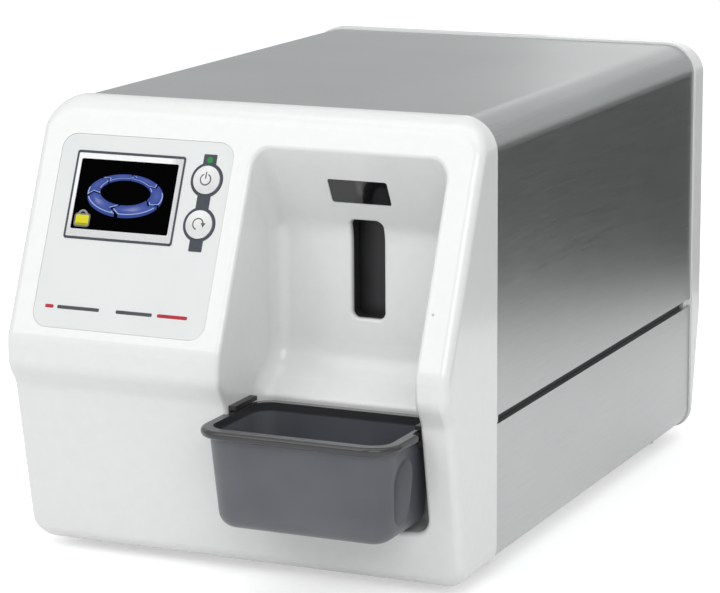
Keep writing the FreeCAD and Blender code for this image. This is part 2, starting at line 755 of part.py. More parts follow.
def carriage_motor():
    """Stepper motor on the rear of the mechanism plate."""
    size = 35.0
    block = box(ROD_X - size / 2, ROD_X + size / 2, 222, 244, SCREW_Z - size / 2, SCREW_Z + size / 2)
    ends = [e for e in block.Edges if abs(e.BoundBox.YMax - e.BoundBox.YMin) > 1]
    boss = rod(ROD_X, 220.4, SCREW_Z, Y, 11, 2)
    return fuse([block.makeChamfer(3.5, ends), boss])


def plate_carriage():
    """Carriage with two bushed blocks, a nut and an upright blade that holds the plate."""
    y0, y1 = CARRIAGE_Y + 2, CARRIAGE_Y + 30
    block = box(ROD_X - 9, ROD_X + 8, y0, y1, ROD_Z[0] - 7, ROD_Z[1] + 7)
    arm = box(SLOT_X + 2.0, ROD_X - 8, y0 + 4, y1 - 4, 112, 128)
    blade = box(SLOT_X + 1.0, SLOT_X + 3.2, y0, y1 + 16, 101, 140.5)
    holes = [rod(ROD_X, y0 - 1, z, Y, ROD_R + 0.05, 40) for z in ROD_Z]
    holes.append(rod(ROD_X, y0 - 1, SCREW_Z, Y, 6.0, 40))
    return fuse([block, arm, blade]).cut(fuse_cuts(holes))


def carriage_nut():
    """Brass nut pressed into the carriage."""
    y0 = CARRIAGE_Y + 2
    flange = rod(ROD_X, y0 - 2.5, SCREW_Z, Y, 8.5, 2.5)
    sleeve = rod(ROD_X, y0, SCREW_Z, Y, 6.0, 20)
    return fuse([flange, sleeve]).cut(rod(ROD_X, y0 - 5, SCREW_Z, Y, SCREW_R + 0.05, 40))


def home_sensor():
    """Forked light barrier that finds the carriage's home position."""
    body = box(ROD_X - 22, ROD_X - 12, 24, 30, MECH_Z + 3, MECH_Z + 12)
    return body.cut(box(ROD_X - 18.5, ROD_X - 15.5, 20, 34, MECH_Z + 6, MECH_Z + 20))


# ---- scan head ----------------------------------------------------------------------------

def scan_housing():
    """Light-tight box of the scan head, open towards the plate's path."""
    outer = box(-20, 34, SCAN_Y - 26, SCAN_Y + 26, MECH_Z + 3, 150)
    inner = box(-17, 40, SCAN_Y - 23, SCAN_Y + 23, MECH_Z + 6, 147)
    return outer.cut(inner)


def scan_motor():
    """Flat motor on the floor of the scan head."""
    return fuse([rod(4, SCAN_Y, MECH_Z + 6, Z, 14, 9), rod(4, SCAN_Y, MECH_Z + 15, Z, 2, 18)])


def scan_mirror():
    """Spinning holder with a slanted mirror that sweeps the laser over the plate."""
    holder = rod(4, SCAN_Y, MECH_Z + 17, Z, 9, 26)
    wedge = Part.makeBox(40, 20, 20, V(-20, -10, 0))
    wedge.rotate(V(0, 0, 0), Y, -45)
    wedge.translate(V(4, SCAN_Y, MECH_Z + 30))
    return holder.cut(wedge).cut(rod(4, SCAN_Y, MECH_Z + 10, Z, 2.05, 26))


def laser_module():
    """Laser diode in its cooled tube, pointing down at the mirror."""
    tube = rod(4, SCAN_Y, 133, Z, 6, 14)
    fins = [rod(4, SCAN_Y, 136 + 3.5 * k, Z, 8.5, 1.5) for k in range(3)]
    return fuse([tube] + fins).cut(rod(4, SCAN_Y, 130, Z, 2, 8))


def light_guide():
    """Clear bar that gathers the glow along the scan line."""
    bar = Part.makeBox(10, 6, 44, V(30, SCAN_Y + 6, 99))
    return bar.cut(rod(40, SCAN_Y + 3, 90, Z, 4, 60))


def photomultiplier():
    """Light sensor tube behind the clear bar."""
    return fuse([rod(-14, SCAN_Y + 16, 122, X, 6.2, 34), rod(20, SCAN_Y + 16, 122, X, 4, 10)])


def eraser_lamp():
    """Lamp bar that wipes the plate after reading."""
    body = box(22, 34, 186, 206, MECH_Z + 3, 146)
    lamps = [rod(34, 196, 98 + 8 * k, X, 2.4, 2.0) for k in range(6)]
    return fuse([body] + lamps)


# ---- electronics --------------------------------------------------------------------------

def main_board():
    """Main circuit board over the chassis floor, with its larger components."""
    board = box(-88, 20, 38, 154, 9.0, 10.6)
    chips = [(-70, 64, 24, 24, 3), (-30, 60, 18, 18, 2.5), (-66, 112, 30, 14, 4), (-6, 122, 14, 20, 6),
             (-30, 98, 12, 26, 9), (-77, 42, 32, 7, 7)]
    parts = [box(x, x + w, y, y + d, 10.6, 10.6 + h) for x, y, w, d, h in chips]
    holes = [rod(x, y, 5, Z, 1.6, 8) for x, y in standoff_places()]
    return fuse([board] + parts).cut(fuse_cuts(holes))


def standoff_places():
    """Fixing points of the main board, as (x, y)."""
    return [(x, y) for x in (-84, 16) for y in (42, 150)]


def board_standoffs():
    """Short round spacers under the main board."""
    return Part.Compound([rod(x, y, SHEET, Z, 3.5, 9.0 - SHEET) for x, y in standoff_places()])


def power_supply():
    """Enclosed mains power supply with folded metal case."""
    case = box(-90, -44, 164, 246, 4.0, 44)
    slots = [box(-80 + 10 * k, -76 + 10 * k, 174, 236, 42.5, 50) for k in range(3)]
    pads = [rod(x, y, SHEET, Z, 3, 3) for x in (-70, -50) for y in (170, 226)]
    return fuse([case] + pads).cut(fuse_cuts(slots))


def ribbon_cable():
    """Flat lead from the panel board down to the main board."""
    x0, x1, thick = -76, -46, 0.6
    lead = box(x0, x1, -23.6, -6.0, 128.6, 128.6 + thick)
    drop = box(x0, x1, -6.6, -6.6 + thick, 40, 128.6 + thick)
    run = box(x0, x1, -6.6, 46.0, 40 - thick, 40)
    fall = box(x0, x1, 46.0 - thick, 46.0, 17.6, 40)
    return fuse([lead, drop, run, fall])


# ---- rear fittings ------------------------------------------------------------------------

def fan_frame():
    """Square frame of the cooling fan, with motor hub on three struts."""
    y0, y1 = 250.0, BACK_Y - WALL - 0.2
    half = FAN_SIZE / 2
    frame = slab_y(FAN_X - half, FAN_X + half, FAN_Z - half, FAN_Z + half, y0, y1, 4)
    frame = frame.cut(rod(FAN_X, y0 - 1, FAN_Z, Y, 28.5, 30))
    hub = rod(FAN_X, y0, FAN_Z, Y, 11, 2.0)
    struts = []
    for k in range(3):
        strut = box(-1.6, 1.6, 0, 2.0, 5, 29.2)
        strut.rotate(V(0, 0, 0), Y, 120 * k)
        strut.translate(V(FAN_X, y0, FAN_Z))
        struts.append(strut)
    pin = rod(FAN_X, y0 + 1, FAN_Z, Y, 1.5, 12)
    return fuse([frame, hub, pin] + struts)


def fan_rotor():
    """Hub and seven pitched blades of the fan."""
    y0, y1 = 253.0, BACK_Y - WALL - 0.6
    hub = rod(0, y0, 0, Y, 11.5, y1 - y0)
    blades = []
    for k in range(7):
        blade = box(-0.7, 0.7, -6.4, 6.4, 10, 27)
        blade.rotate(V(0, 0, 0), Z, 38)
        blade = blade.common(rod(0, -5.9, 0, Y, 27, 11.8))
        blade.rotate(V(0, 0, 0), Y, 360 / 7 * k)
        blade.translate(V(0, (y0 + y1) / 2, 0))
        blades.append(blade)
    piece = fuse([hub] + blades).cut(rod(0, y0 - 1, 0, Y, 1.55, 11.4))
    piece.translate(V(FAN_X, 0, FAN_Z))
    return piece


def fan_guard():
    """Wire guard over the fan opening."""
    rings = [Part.makeTorus(r, 0.8, V(FAN_X, BACK_Y + 0.8, FAN_Z), Y) for r in (8, 14.5, 21, 27.5)]
    ribs = []
    for k in range(2):
        rib = rod(0, 0, -33, Z, 0.8, 66)
        rib.rotate(V(0, 0, 0), Y, 45 + 90 * k)
        rib.translate(V(FAN_X, BACK_Y + 0.9, FAN_Z))
        ribs.append(rib)
    return fuse(rings + ribs)


def power_inlet():
    """Mains inlet body with a hollow for the plug."""
    flange = slab_y(INLET_X - 16, INLET_X + 16, INLET_Z - 12.5, INLET_Z + 12.5, BACK_Y, BACK_Y + 1.6, 2.5)
    body = slab_y(INLET_X - 13.6, INLET_X + 13.6, INLET_Z - 10.1, INLET_Z + 10.1, 248, BACK_Y + 0.5, 1.5)
    corners = [(INLET_X - 11.2, INLET_Z - 7.8), (INLET_X + 11.2, INLET_Z - 7.8),
               (INLET_X + 11.2, INLET_Z + 3.4), (INLET_X + 7.2, INLET_Z + 7.8),
               (INLET_X - 7.2, INLET_Z + 7.8), (INLET_X - 11.2, INLET_Z + 3.4)]
    hollow = prism(outline(corners, [1, 1, 0.5, 0.5, 0.5, 0.5], along(252)), Y * 30)
    return fuse([flange, body]).cut(hollow).cut(inlet_pins())


def inlet_pins():
    """Three flat contacts of the mains inlet."""
    places = [(-7, -2.2), (7, -2.2), (0, 2.4)]
    return Part.Compound([box(INLET_X + x - 1, INLET_X + x + 1, 246, BACK_Y - 7.0,
                              INLET_Z + z - 2, INLET_Z + z + 2) for x, z in places])


def rocker_frame():
    """Frame of the mains switch."""
    flange = slab_y(ROCKER_X - 8.5, ROCKER_X + 8.5, INLET_Z - 12, INLET_Z + 12, BACK_Y, BACK_Y + 1.2, 1.5)
    body = slab_y(ROCKER_X - 6.8, ROCKER_X + 6.8, INLET_Z - 10.2, INLET_Z + 10.2, 250, BACK_Y + 0.6, 0.8)
    hollow = box(ROCKER_X - 5.3, ROCKER_X + 5.3, 253, BACK_Y + 5, INLET_Z - 9.3, INLET_Z + 9.3)
    pin = rod(ROCKER_X - 5.6, ROCKER_Y, INLET_Z, X, 1.2, 11.2)
    return fuse([flange, body]).cut(hollow).fuse(pin)


def mains_rocker():
    """Rocker of the mains switch, dished, resting with its upper half pressed in."""
    inner, shoulder, tip, dish = ROCKER_Y - 4.4, BACK_Y - 3.2, BACK_Y + 0.6, BACK_Y - 1.0
    corners = [(inner, -2.4), (shoulder, -8.4), (tip, -8.4), (dish, 0), (tip, 8.4), (shoulder, 8.4),
               (inner, 2.4)]
    body = outline(corners, [0] * len(corners), across(-4.9))
    piece = prism(body, X * 9.8).cut(rod(-6, ROCKER_Y, 0, X, 1.26, 12))
    piece.translate(V(ROCKER_X, 0, INLET_Z))
    piece.rotate(V(ROCKER_X, ROCKER_Y, INLET_Z), X, ROCKER_REST)
    return piece


def network_socket():
    """Shielded network socket with its stepped opening."""
    body = box(-8.7, 6.7, 254, BACK_Y + 0.3, INLET_Z - 6.7, INLET_Z + 6.7)
    opening = box(-6.9, 4.9, 257, BACK_Y + 5, INLET_Z - 4.4, INLET_Z + 2.6)
    latch = box(-4.0, 2.0, 257, BACK_Y + 5, INLET_Z + 2.0, INLET_Z + 4.8)
    return body.cut(opening).cut(latch)


def rating_plate():
    """Blank plate where the maker's data would be."""
    return slab_y(-80, -20, 138, 170, BACK_Y, BACK_Y + 0.3, 1.5)


# ---- all pieces ---------------------------------------------------------------------------

PIECES = {
    "front_cover": front_cover, "rear_cover": rear_cover, "top_cover": top_cover,
    "base_chassis": base_chassis, "seam_liners": seam_liners, "feet": feet,
    "foot_screws": foot_screws, "cover_screws": cover_screws, "panel_overlay": panel_overlay,
    "button_surround": button_surround, "display_outline": display_outline,
    "display_bezel": display_bezel, "display_window": display_window,
    "display_module": display_module, "panel_board": panel_board, "panel_studs": panel_studs,
    "tact_switches": tact_switches, "status_led": status_led, "smoked_window": smoked_window,
    "slot_bezel": slot_bezel, "collection_tray": collection_tray, "tray_rails": tray_rails,
    "door_gear": door_gear, "feed_door": feed_door, "door_guide": door_guide,
    "door_motor": door_motor, "door_motor_mount": door_motor_mount, "mech_base": mech_base,
    "mech_posts": mech_posts, "rod_brackets": rod_brackets, "guide_rods": guide_rods,
    "screw_bearings": screw_bearings, "leadscrew": leadscrew, "carriage_motor": carriage_motor,
    "plate_carriage": plate_carriage, "carriage_nut": carriage_nut, "home_sensor": home_sensor,
    "scan_housing": scan_housing, "scan_motor": scan_motor, "scan_mirror": scan_mirror,
    "laser_module": laser_module, "light_guide": light_guide, "photomultiplier": photomultiplier,
    "eraser_lamp": eraser_lamp, "main_board": main_board, "board_standoffs": board_standoffs,
    "power_supply": power_supply, "ribbon_cable": ribbon_cable, "fan_frame": fan_frame,
    "fan_rotor": fan_rotor, "fan_guard": fan_guard, "power_inlet": power_inlet,
    "inlet_pins": inlet_pins, "rocker_frame": rocker_frame, "mains_rocker": mains_rocker,
    "network_socket": network_socket, "rating_plate": rating_plate,
}

os.makedirs("parts", exist_ok=True)
for name, make in PIECES.items():
    save(name, make())
save("power_button", button(BUTTON_Z[0]))
save("restart_button", button(BUTTON_Z[1]))
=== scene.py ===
"""Looks of a tabletop scanner for dental imaging plates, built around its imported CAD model."""
import json
import math

import bmesh
import bpy
from mathutils import Matrix, Vector

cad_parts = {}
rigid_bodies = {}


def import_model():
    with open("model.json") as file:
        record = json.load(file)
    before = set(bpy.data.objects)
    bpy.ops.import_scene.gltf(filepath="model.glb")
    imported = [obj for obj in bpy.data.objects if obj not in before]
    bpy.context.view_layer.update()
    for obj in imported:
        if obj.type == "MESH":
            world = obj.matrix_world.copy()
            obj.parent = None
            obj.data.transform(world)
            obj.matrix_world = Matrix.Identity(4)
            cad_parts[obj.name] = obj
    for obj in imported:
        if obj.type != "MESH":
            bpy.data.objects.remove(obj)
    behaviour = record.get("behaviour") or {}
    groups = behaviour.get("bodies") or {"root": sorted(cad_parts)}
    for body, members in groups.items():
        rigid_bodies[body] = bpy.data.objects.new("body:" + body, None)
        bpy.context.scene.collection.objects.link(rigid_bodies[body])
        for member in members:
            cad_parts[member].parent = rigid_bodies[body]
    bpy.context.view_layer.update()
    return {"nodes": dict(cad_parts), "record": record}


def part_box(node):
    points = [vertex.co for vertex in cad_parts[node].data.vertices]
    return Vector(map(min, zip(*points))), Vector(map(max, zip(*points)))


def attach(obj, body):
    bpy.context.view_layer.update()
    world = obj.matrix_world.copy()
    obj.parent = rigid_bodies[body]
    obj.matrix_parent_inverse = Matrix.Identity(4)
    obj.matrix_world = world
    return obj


for leftover in list(bpy.data.objects):
    bpy.data.objects.remove(leftover)

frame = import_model()

MM = 0.001

# ---- the leaning control face, worked out from the panel film -----------------------------

LEAN = math.radians(23.29)            # the control face leans back by this angle
FILM_FRONT = 0.1 * MM                 # depth of the film's front and back under the bare face
FILM_BACK = 0.5 * MM
film_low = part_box("panel_overlay")[0]
FACE_UP = Vector((0, math.sin(LEAN), math.cos(LEAN)))
FACE_OUT = Vector((0, -math.cos(LEAN), math.sin(LEAN)))
FACE_FOOT = Vector((0, film_low.y - FILM_FRONT * math.cos(LEAN), film_low.z + FILM_BACK * math.sin(LEAN)))


def on_face(x, z, out=0.0):
    """Matrix that stands a flat drawing (x right, y up, z towards the viewer) on the control face."""
    rise = (z - FACE_FOOT.z) / FACE_UP.z
    place = Vector((x, 0, 0)) + FACE_FOOT + FACE_UP * rise + FACE_OUT * out
    turn = Matrix((Vector((1, 0, 0)), FACE_UP, FACE_OUT)).transposed().to_4x4()
    return Matrix.Translation(place) @ turn


def middle(node):
    """Centre of a CAD node's box."""
    low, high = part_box(node)
    return (low + high) / 2


# ---- shader building blocks ---------------------------------------------------------------

class Recipe:
    """A node tree under construction."""

    def __init__(self, tree):
        self.tree = tree

    def add(self, kind, **values):
        """Adds a node; keyword values set its properties, or its inputs where the name is an input."""
        node = self.tree.nodes.new(kind)
        for name, value in values.items():
            if hasattr(node, name):
                setattr(node, name, value)
            else:
                node.inputs[name.replace("_", " ")].default_value = value
        return node

    def join(self, source, target):
        """Links an output socket to an input socket."""
        self.tree.links.new(source, target)

    def ramp(self, source, *stops):
        """Colour ramp over (place, colour) stops, fed by a value; returns its colour output."""
        node = self.add("ShaderNodeValToRGB")
        band = node.color_ramp
        while len(band.elements) < len(stops):
            band.elements.new(0.5)
        for element, (place, colour) in zip(band.elements, stops):
            element.position = place
            element.color = (*colour, 1)
        self.join(source, node.inputs["Fac"])
        return node.outputs["Color"]

    def span(self, source, low, high, to_low=0.0, to_high=1.0):
        """Maps a value from one range to another, clamped."""
        node = self.add("ShaderNodeMapRange")
        for name, value in (("From Min", low), ("From Max", high), ("To Min", to_low), ("To Max", to_high)):
            node.inputs[name].default_value = value
        self.join(source, node.inputs["Value"])
        return node.outputs["Result"]

    def math(self, operation, first, second):
        """A two-input math node; inputs are sockets or numbers."""
        node = self.add("ShaderNodeMath", operation=operation)
        for socket, value in zip(node.inputs, (first, second)):
            if isinstance(value, (int, float)):
                socket.default_value = value
            else:
                self.join(value, socket)
        return node.outputs["Value"]

    def blend(self, share, first, second):
        """Mixes two colours, each a socket or a plain colour, by a share that is a socket."""
        node = self.add("ShaderNodeMix", data_type="RGBA")
        pairs = ((node.inputs[0], share), (node.inputs[6], first), (node.inputs[7], second))
        for socket, value in pairs:
            if isinstance(value, tuple):
                socket.default_value = (*value, 1)
            else:
                self.join(value, socket)
        return node.outputs[2]

    def point(self):
        """The position on the object, as a socket."""
        return self.add("ShaderNodeTexCoord").outputs["Object"]


def new_group(name, inputs, outputs):
    """A shader node group with named float inputs and outputs; returns its recipe and its two end nodes."""
    tree = bpy.data.node_groups.new(name, "ShaderNodeTree")
    for label, value in inputs:
        socket = tree.interface.new_socket(label, in_out="INPUT", socket_type="NodeSocketFloat")
        socket.default_value = value
    for label, kind in outputs:
        tree.interface.new_socket(label, in_out="OUTPUT", socket_type=kind)
    recipe = Recipe(tree)
    return recipe, recipe.add("NodeGroupInput"), recipe.add("NodeGroupOutput")


def make_moulded_grain():
    """Fine surface grain of moulded or lacquered parts, with a slower waviness under it."""
    recipe, start, end = new_group("moulded_grain", [("Grain Scale", 3000.0), ("Wave Scale", 180.0)],
                                   [("Height", "NodeSocketFloat"), ("Wave", "NodeSocketFloat")])
    place = recipe.point()
    grain = recipe.add("ShaderNodeTexNoise", Detail=2.0)
    wave = recipe.add("ShaderNodeTexNoise", Detail=1.0)
    recipe.join(place, grain.inputs["Vector"])
    recipe.join(place, wave.inputs["Vector"])
    recipe.join(start.outputs["Grain Scale"], grain.inputs["Scale"])
    recipe.join(start.outputs["Wave Scale"], wave.inputs["Scale"])
    recipe.join(grain.outputs["Fac"], end.inputs["Height"])
    recipe.join(wave.outputs["Fac"], end.inputs["Wave"])
    return recipe.tree


def make_brushed_lines():
    """Long fine scratches of brushed metal along Y, with a slow cloudiness."""
    recipe, start, end = new_group("brushed_lines", [("Line Scale", 1.0)],
                                   [("Lines", "NodeSocketFloat"), ("Clouds", "NodeSocketFloat")])
    place = recipe.add("ShaderNodeMapping")
    place.inputs["Scale"].default_value = (1.0, 0.015, 1.0)
    recipe.join(recipe.point(), place.inputs["Vector"])
    lines = recipe.add("ShaderNodeTexNoise", Detail=3.0, Roughness=0.65)
    recipe.join(place.outputs["Vector"], lines.inputs["Vector"])
    recipe.join(recipe.math("MULTIPLY", start.outputs["Line Scale"], 2600.0), lines.inputs["Scale"])
    clouds = recipe.add("ShaderNodeTexNoise", Scale=14.0, Detail=2.0)
    recipe.join(recipe.point(), clouds.inputs["Vector"])
    recipe.join(lines.outputs["Fac"], end.inputs["Lines"])
    recipe.join(clouds.outputs["Fac"], end.inputs["Clouds"])
    return recipe.tree


def make_settled_dust():
    """Mask of the little dust that settles on faces that look up."""
    recipe, start, end = new_group("settled_dust", [("Amount", 0.1)], [("Mask", "NodeSocketFloat")])
    facing = recipe.add("ShaderNodeSeparateXYZ")
    recipe.join(recipe.add("ShaderNodeNewGeometry").outputs["Normal"], facing.inputs["Vector"])
    upward = recipe.span(facing.outputs["Z"], 0.55, 1.0)
    specks = recipe.add("ShaderNodeTexNoise", Scale=420.0, Detail=4.0, Roughness=0.7)
    recipe.join(recipe.point(), specks.inputs["Vector"])
    patchy = recipe.span(specks.outputs["Fac"], 0.45, 0.75)
    share = recipe.math("MULTIPLY", upward, patchy)
    recipe.join(recipe.math("MULTIPLY", share, start.outputs["Amount"]), end.inputs["Mask"])
    return recipe.tree


GROUPS = {"grain": make_moulded_grain(), "lines": make_brushed_lines(), "dust": make_settled_dust()}
DUST = (0.62, 0.60, 0.57)


class Finish(Recipe):
    """A material under construction, with its Principled shader."""

    def __init__(self, name, **sockets):
        self.material = bpy.data.materials.new(name)
        self.material.use_nodes = True
        super().__init__(self.material.node_tree)
        self.shader = self.tree.nodes["Principled BSDF"]
        for label, value in sockets.items():
            socket = self.shader.inputs[label.replace("_", " ")]
            socket.default_value = (*value, 1) if isinstance(value, tuple) else value

    def group(self, key, **values):
        """Places one of the shared groups with its own values."""
        node = self.add("ShaderNodeGroup")
        node.node_tree = GROUPS[key]
        for label, value in values.items():
            node.inputs[label.replace("_", " ")].default_value = value
        return node

    def feed(self, label, source):
        """Links a socket into the Principled shader."""
        self.join(source, self.shader.inputs[label])

    def bump(self, source, strength, distance):
        """Adds relief on top of the relief that is there already."""
        node = self.add("ShaderNodeBump")
        node.inputs["Strength"].default_value = strength
        node.inputs["Distance"].default_value = distance
        self.join(source, node.inputs["Height"])
        before = self.shader.inputs["Normal"].links
        if before:
            self.join(before[0].from_socket, node.inputs["Normal"])
        self.feed("Normal", node.outputs["Normal"])

    def dusty(self, colour, amount):
        """Base colour with a little dust on what looks up; colour is a socket or a plain colour."""
        mask = self.group("dust", Amount=amount).outputs["Mask"]
        self.feed("Base Color", self.blend(mask, colour, DUST))


# ---- finishes -----------------------------------------------------------------------------

def white_gloss():
    """Lacquered white moulding with faint orange peel."""
    made = Finish("white_gloss", IOR=1.5, Coat_Weight=0.35, Coat_Roughness=0.08)
    grain = made.group("grain", Grain_Scale=2600.0, Wave_Scale=230.0)
    tone = made.ramp(grain.outputs["Wave"], (0.3, (0.815, 0.825, 0.815)), (0.7, (0.83, 0.84, 0.83)))
    made.dusty(tone, 0.04)
    made.feed("Roughness", made.span(grain.outputs["Height"], 0.3, 0.7, 0.17, 0.25))
    made.bump(grain.outputs["Wave"], 0.05, 0.4 * MM)
    made.bump(grain.outputs["Height"], 0.03, 0.05 * MM)
    return made.material


def printed_film():
    """Matte grey-white overlay film with a fine velvet texture."""
    made = Finish("printed_film", IOR=1.46)
    grain = made.group("grain", Grain_Scale=9000.0, Wave_Scale=40.0)
    tone = made.ramp(grain.outputs["Wave"], (0.3, (0.735, 0.755, 0.745)), (0.7, (0.755, 0.775, 0.765)))
    made.feed("Base Color", tone)
    made.feed("Roughness", made.span(grain.outputs["Height"], 0.3, 0.7, 0.42, 0.56))
    made.bump(grain.outputs["Height"], 0.2, 0.03 * MM)
    return made.material


def slate_ink():
    """Blue-grey screen print."""
    made = Finish("slate_ink", Roughness=0.45)
    grain = made.group("grain", Grain_Scale=7000.0, Wave_Scale=400.0)
    tone = made.ramp(grain.outputs["Wave"], (0.3, (0.030, 0.038, 0.050)), (0.7, (0.037, 0.047, 0.061)))
    made.feed("Base Color", tone)
    made.bump(grain.outputs["Height"], 0.15, 0.03 * MM)
    return made.material


def hatched_bezel():
    """White display frame with fine diagonal hatching along its foot and its right side."""
    made = Finish("hatched_bezel", Roughness=0.4)
    low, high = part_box("display_bezel")
    place = made.add("ShaderNodeMapping")
    place.inputs["Rotation"].default_value = (-LEAN, 0, 0)
    place.inputs["Scale"].default_value = (1, 1, -1)
    made.join(made.point(), place.inputs["Vector"])
    stripes = made.add("ShaderNodeTexWave", wave_type="BANDS", bands_direction="DIAGONAL", Scale=900.0)
    made.join(place.outputs["Vector"], stripes.inputs["Vector"])
    height = made.add("ShaderNodeSeparateXYZ")
    made.join(made.point(), height.inputs["Vector"])
    low_fade = made.span(height.outputs["Z"], low.z + (high.z - low.z) * 0.45, low.z + 3 * MM)
    right_fade = made.span(height.outputs["X"], high.x - 6 * MM, high.x - 3 * MM)
    lines = made.span(stripes.outputs["Fac"], 0.42, 0.60)
    ink = made.math("MULTIPLY", lines, made.math("MAXIMUM", low_fade, right_fade))
    made.feed("Base Color", made.blend(ink, (0.87, 0.87, 0.87), (0.40, 0.40, 0.41)))
    return made.material


def display_glass():
    """Black cover glass of the display."""
    made = Finish("display_glass", Base_Color=(0.0006, 0.0006, 0.0008))
    made.shader.inputs["Specular IOR Level"].default_value = 0.004
    grain = made.group("grain", Grain_Scale=5000.0, Wave_Scale=60.0)
    made.feed("Roughness", made.span(grain.outputs["Wave"], 0.3, 0.7, 0.10, 0.18))
    return made.material


def satin_steel():
    """Satin sheet metal of the casing, brushed from front to back."""
    made = Finish("satin_steel", Metallic=1.0)
    brush = made.group("lines", Line_Scale=1.0)
    tone = made.ramp(brush.outputs["Clouds"], (0.3, (0.500, 0.515, 0.510)), (0.7, (0.535, 0.550, 0.545)))
    fine = made.blend(made.span(brush.outputs["Lines"], 0.3, 0.7), (0.88, 0.88, 0.88), (1.0, 1.0, 1.0))
    shaded = made.add("ShaderNodeMix", data_type="RGBA", blend_type="MULTIPLY")
    shaded.inputs[0].default_value = 1.0
    made.join(tone, shaded.inputs[6])
    made.join(fine, shaded.inputs[7])
    made.dusty(shaded.outputs[2], 0.04)
    made.feed("Roughness", made.span(brush.outputs["Lines"], 0.25, 0.75, 0.27, 0.37))
    made.bump(brush.outputs["Lines"], 0.10, 0.03 * MM)
    return made.material


def plain_metal(name, colour, roughness, scale=1.0):
    """Bare metal with fine machining lines."""
    made = Finish(name, Metallic=1.0)
    brush = made.group("lines", Line_Scale=scale)
    darker = tuple(c * 0.86 for c in colour)
    made.feed("Base Color", made.ramp(brush.outputs["Clouds"], (0.3, darker), (0.7, colour)))
    made.feed("Roughness", made.span(brush.outputs["Lines"], 0.3, 0.7, roughness * 0.8, roughness * 1.25))
    made.bump(brush.outputs["Lines"], 0.08, 0.02 * MM)
    return made.material


def plain_plastic(name, colour, roughness, grain_scale=3500.0, relief=0.2, dust=0.1):
    """Moulded plastic or rubber with an eroded texture."""
    made = Finish(name)
    grain = made.group("grain", Grain_Scale=grain_scale, Wave_Scale=90.0)
    darker = tuple(c * 0.85 for c in colour)
    made.dusty(made.ramp(grain.outputs["Wave"], (0.3, darker), (0.7, colour)), dust)
    made.feed("Roughness", made.span(grain.outputs["Height"], 0.3, 0.7, roughness * 0.85, roughness * 1.15))
    made.bump(grain.outputs["Height"], relief, 0.05 * MM)
    return made.material


def smoky_plastic():
    """Frosted grey tray plastic, with a darker and glossier rolled rim, and painted light at its foot and
    its left side.
    """
    made = Finish("smoky_plastic", IOR=1.5)
    low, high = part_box("collection_tray")
    rim_low = high.z - 4.2 * MM
    place = made.add("ShaderNodeSeparateXYZ")
    made.join(made.point(), place.inputs["Vector"])
    rim = made.span(place.outputs["Z"], rim_low, rim_low + 1.2 * MM)
    cloudy = made.add("ShaderNodeTexNoise", Scale=34.0, Detail=2.0)
    made.join(made.point(), cloudy.inputs["Vector"])
    body = made.ramp(cloudy.outputs["Fac"], (0.3, (0.072, 0.077, 0.090)), (0.7, (0.096, 0.102, 0.116)))
    # painted light: the body turns paler towards its foot and its left edge, as light shining through the
    # frosted plastic
    painted_foot_light = made.span(place.outputs["Z"], low.z + 13 * MM, low.z + 1 * MM, 0.0, 0.35)
    painted_side_light = made.span(place.outputs["X"], low.x + 22 * MM, low.x + 4 * MM, 0.0, 0.45)
    body = made.blend(made.math("MAXIMUM", painted_foot_light, painted_side_light), body, (0.150, 0.162, 0.168))
    made.feed("Base Color", made.blend(rim, body, (0.036, 0.036, 0.038)))
    made.feed("Roughness", made.span(rim, 0.0, 1.0, 0.36, 0.13))
    made.shader.inputs["Specular IOR Level"].default_value = 0.62
    grain = made.group("grain", Grain_Scale=4200.0, Wave_Scale=120.0)
    made.bump(grain.outputs["Height"], 0.12, 0.04 * MM)
    return made.material


PAINTED_DISC_REACH = 20 * MM                      # distance from the disc's middle where the painted disc and its painted shade end
PAINTED_DISC_SHIFT = Vector((7.4, 0, 0.5)) * MM   # where the painted disc and its shade sit, from the middle of the gear


def tinted_pane():
    """Smoked acrylic over a dim inside, with the round disc that stands close behind the pane painted on
    it, together with its painted shade.
    """
    made = Finish("tinted_pane", IOR=1.49)
    made.shader.inputs["Alpha"].default_value = 0.8
    disc = middle("door_gear") + PAINTED_DISC_SHIFT
    away = made.add("ShaderNodeMapping")
    away.inputs["Scale"].default_value = (1 / PAINTED_DISC_REACH, 0, 1 / PAINTED_DISC_REACH)
    away.inputs["Location"].default_value = (-disc.x / PAINTED_DISC_REACH, 0, -disc.z / PAINTED_DISC_REACH)
    made.join(made.point(), away.inputs["Vector"])
    radius = made.add("ShaderNodeVectorMath", operation="LENGTH")
    made.join(away.outputs["Vector"], radius.inputs[0])
    # painted shade: the disc's face, a darker painted shadow round it, and the pane's own dim colour
    # further out
    inside, ring, outside = (0.028, 0.028, 0.029), (0.008, 0.008, 0.009), (0.098, 0.098, 0.099)
    made.feed("Base Color", made.ramp(radius.outputs["Value"], (0.33, inside), (0.37, ring),
                                      (0.575, ring), (0.595, outside)))
    grain = made.group("grain", Grain_Scale=900.0, Wave_Scale=60.0)
    made.feed("Roughness", made.span(grain.outputs["Wave"], 0.3, 0.7, 0.04, 0.09))
    return made.material


def clear_acrylic():
    """Clear light guide."""
    made = Finish("clear_acrylic", Base_Color=(0.86, 0.92, 0.93), IOR=1.49)
    made.shader.inputs["Alpha"].default_value = 0.36
    grain = made.group("grain", Grain_Scale=900.0, Wave_Scale=60.0)
    made.feed("Roughness", made.span(grain.outputs["Wave"], 0.3, 0.7, 0.05, 0.12))
    return made.material


def lamp_green():
    """Status lamp, faintly lit."""
    made = Finish("lamp_green", Base_Color=(0.006, 0.19, 0.035), Roughness=0.5,
                  Emission_Color=(0.01, 0.42, 0.06), Emission_Strength=0.12)
    grain = made.group("grain", Grain_Scale=2500.0, Wave_Scale=900.0)
    made.bump(grain.outputs["Wave"], 0.1, 0.05 * MM)
    return made.material


